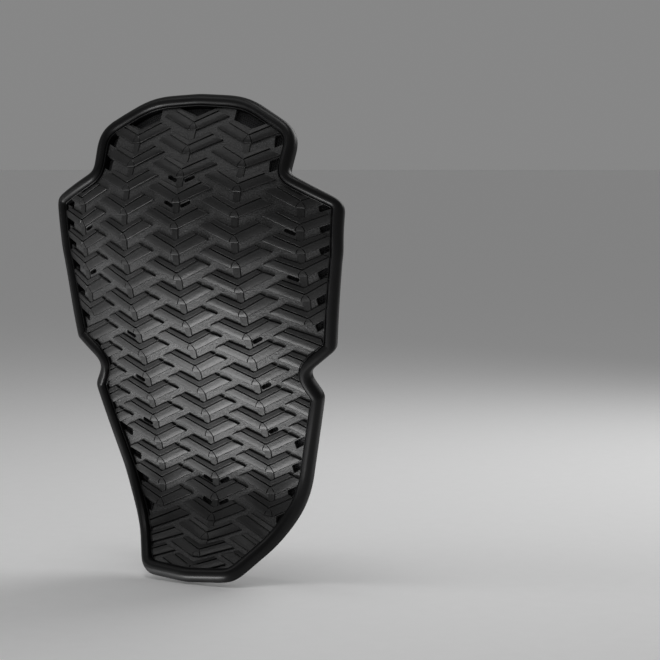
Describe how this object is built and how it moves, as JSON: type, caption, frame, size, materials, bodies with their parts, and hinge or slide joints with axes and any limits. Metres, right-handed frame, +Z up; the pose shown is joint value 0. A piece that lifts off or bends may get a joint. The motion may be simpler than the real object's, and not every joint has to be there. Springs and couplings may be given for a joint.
{
  "type": "back protector",
  "caption": "Pre-curved back protector insert: shingled double chevrons on a vented web in a rounded rim, a soft liner behind, flexing along the spine.",
  "frame": {"origin": "on the spine line at the web's outer face, where the chest panel nears the waist; the protector is held there by the pocket it slips into", "axes": "+Z up towards the wearer's head, -Y the outer side that carries the chevrons, +Y the wearer's side, -X the wearer's left"},
  "size_m": [0.3224, 0.0777, 0.4547],
  "materials": {
    "web_elastomer": "matte, fine moulded grain",
    "chevron_elastomer": "satin-matte, fine grain",
    "rim_elastomer": "smooth satin",
    "liner_mesh": "knitted spacer mesh, matte"
  },
  "bodies": {
    "head": {"chevrons_head_centre": "chevron_elastomer", "chevrons_head_left": "chevron_elastomer", "chevrons_head_right": "chevron_elastomer", "liner_head": "liner_mesh", "rim_head": "rim_elastomer", "web_head": "web_elastomer"},
    "shoulder": {"chevrons_shoulder_centre": "chevron_elastomer", "chevrons_shoulder_far_left": "chevron_elastomer", "chevrons_shoulder_far_right": "chevron_elastomer", "chevrons_shoulder_left": "chevron_elastomer", "chevrons_shoulder_right": "chevron_elastomer", "liner_shoulder": "liner_mesh", "rim_shoulder_left": "rim_elastomer", "rim_shoulder_right": "rim_elastomer", "web_shoulder": "web_elastomer"},
    "chest": {"chevrons_chest_centre": "chevron_elastomer", "chevrons_chest_far_left": "chevron_elastomer", "chevrons_chest_far_right": "chevron_elastomer", "chevrons_chest_left": "chevron_elastomer", "chevrons_chest_right": "chevron_elastomer", "liner_chest": "liner_mesh", "rim_chest_left": "rim_elastomer", "rim_chest_right": "rim_elastomer", "web_chest": "web_elastomer"},
    "waist": {"chevrons_waist_centre": "chevron_elastomer", "chevrons_waist_left": "chevron_elastomer", "chevrons_waist_right": "chevron_elastomer", "liner_waist": "liner_mesh", "rim_waist_left": "rim_elastomer", "rim_waist_right": "rim_elastomer", "web_waist": "web_elastomer"},
    "lumbar": {"chevrons_lumbar_centre": "chevron_elastomer", "chevrons_lumbar_left": "chevron_elastomer", "chevrons_lumbar_right": "chevron_elastomer", "liner_lumbar": "liner_mesh", "rim_lumbar_left": "rim_elastomer", "rim_lumbar_right": "rim_elastomer", "web_lumbar": "web_elastomer"},
    "tail": {"chevrons_tail_centre": "chevron_elastomer", "liner_tail": "liner_mesh", "rim_tail": "rim_elastomer", "web_tail": "web_elastomer"}
  },
  "joints": [
    {"name": "neck_flex", "type": "hinge", "parent": "shoulder", "child": "head", "pos_m": [0, 0.00456, 0.16074], "axis": [-1, 0, 0], "range_deg": [0, 8], "stiffness_Nm_per_rad": 2},
    {"name": "thorax_flex", "type": "hinge", "parent": "chest", "child": "shoulder", "pos_m": [0, 0.01819, 0.08203], "axis": [-1, 0, 0], "range_deg": [0, 5], "stiffness_Nm_per_rad": 2},
    {"name": "waist_flex", "type": "hinge", "parent": "chest", "child": "waist", "pos_m": [0, 0.02535, -0.01739], "axis": [1, 0, 0], "range_deg": [0, 12], "stiffness_Nm_per_rad": 2},
    {"name": "lumbar_flex", "type": "hinge", "parent": "waist", "child": "lumbar", "pos_m": [0, 0.04146, -0.0917], "axis": [1, 0, 0], "range_deg": [0, 12], "stiffness_Nm_per_rad": 2},
    {"name": "tail_flex", "type": "hinge", "parent": "lumbar", "child": "tail", "pos_m": [0, 0.03812, -0.16875], "axis": [1, 0, 0], "range_deg": [0, 10], "stiffness_Nm_per_rad": 2}
  ]
}
